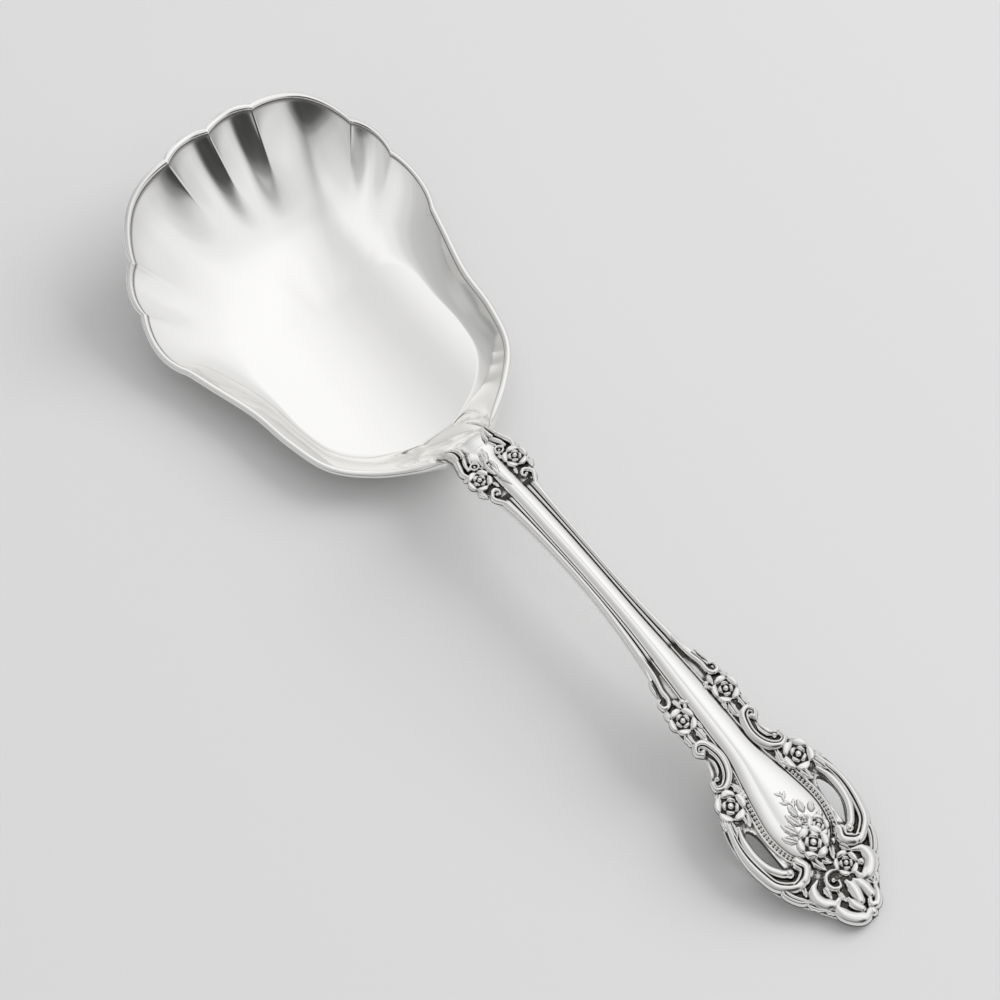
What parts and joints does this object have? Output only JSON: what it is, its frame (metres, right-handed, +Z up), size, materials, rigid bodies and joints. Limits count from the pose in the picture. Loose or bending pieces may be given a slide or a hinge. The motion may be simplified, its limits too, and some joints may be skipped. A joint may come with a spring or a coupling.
{
  "type": "casserole spoon",
  "caption": "Silver serving spoon with a broad scalloped shell bowl, a beaded rim and a pierced, rose and scroll decorated handle.",
  "frame": {"origin": "on the table under the middle of the spoon's overall length and width", "axes": "+X from the bowl's front to the handle's tip, +Y across, +Z up out of the bowl"},
  "size_m": [0.2222, 0.0724, 0.0271],
  "materials": {
    "polished_silver": "mirror polished silver",
    "handle_silver": "polished silver with darkened recesses",
    "antiqued_silver": "cast silver relief with dark antiquing in the recesses"
  },
  "bodies": {
    "root": {"bowl": "polished_silver", "rim_bead_wire": "polished_silver", "center_panel": "polished_silver", "handle_plate": "handle_silver", "left_edge_reed": "handle_silver", "right_edge_reed": "handle_silver", "left_loop_arm": "handle_silver", "right_loop_arm": "handle_silver", "left_bead_border": "handle_silver", "right_bead_border": "handle_silver", "left_neck_leaf": "antiqued_silver", "right_neck_leaf": "antiqued_silver", "left_neck_rose": "antiqued_silver", "right_neck_rose": "antiqued_silver", "neck_bud": "antiqued_silver", "left_mid_leaves": "antiqued_silver", "right_mid_leaves": "antiqued_silver", "left_mid_rose": "antiqued_silver", "right_mid_rose": "antiqued_silver", "left_waist_scroll": "antiqued_silver", "right_waist_scroll": "antiqued_silver", "left_shoulder_rose": "antiqued_silver", "right_shoulder_rose": "antiqued_silver", "left_shoulder_leaves": "antiqued_silver", "right_shoulder_leaves": "antiqued_silver", "cartouche_rose": "antiqued_silver", "cartouche_spray": "antiqued_silver", "terminal_flower": "antiqued_silver", "left_terminal_scroll": "antiqued_silver", "right_terminal_scroll": "antiqued_silver", "tip_shell": "antiqued_silver", "left_tip_scroll": "antiqued_silver", "right_tip_scroll": "antiqued_silver"}
  },
  "joints": []
}
